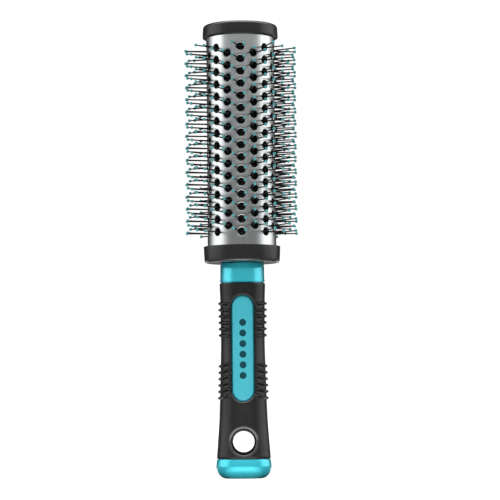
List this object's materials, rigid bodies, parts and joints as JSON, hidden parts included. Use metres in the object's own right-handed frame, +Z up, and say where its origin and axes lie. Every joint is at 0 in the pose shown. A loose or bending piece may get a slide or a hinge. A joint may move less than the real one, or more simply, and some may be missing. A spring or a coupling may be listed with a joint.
{
  "type": "round thermal hair brush",
  "caption": "Round hair brush with a vented metal barrel full of ball-tipped bristles, on a long handle with a ribbed grip and a hanging hole.",
  "frame": {"origin": "centre of the handle's flat foot, which is the bottom centre of the bounding box", "axes": "+Z up the brush from the handle to the end cap; -Y is the front, where one window of the grip faces; +X to the right seen from the front"},
  "size_m": [0.061, 0.061, 0.2508],
  "materials": {
    "aluminium": "satin anodised tube, grey",
    "satin_black_plastic": "satin moulded black",
    "black_nylon": "smooth black nylon",
    "carrier_plastic": "plain moulded black",
    "steel": "zinc-plated",
    "teal_plastic": "glossy metallic teal",
    "grip_rubber": "matt soft-touch charcoal"
  },
  "bodies": {
    "root": {"end_cap": "satin_black_plastic", "barrel": "aluminium", "bristle_strip_01": "black_nylon", "bristle_strip_02": "black_nylon", "bristle_strip_03": "black_nylon", "bristle_strip_04": "black_nylon", "bristle_strip_05": "black_nylon", "bristle_strip_06": "black_nylon", "bristle_strip_07": "black_nylon", "bristle_strip_08": "black_nylon", "bristle_strip_09": "black_nylon", "bristle_strip_10": "black_nylon", "bristle_strip_11": "black_nylon", "bristle_strip_12": "black_nylon", "bristle_strip_13": "black_nylon", "bristle_strip_14": "black_nylon", "bristle_strip_15": "black_nylon", "bristle_strip_16": "black_nylon", "barrel_core": "carrier_plastic", "core_screw": "steel", "screw_washer": "steel", "collar": "satin_black_plastic", "handle_core": "teal_plastic", "grip_sleeve": "grip_rubber"}
  },
  "joints": []
}
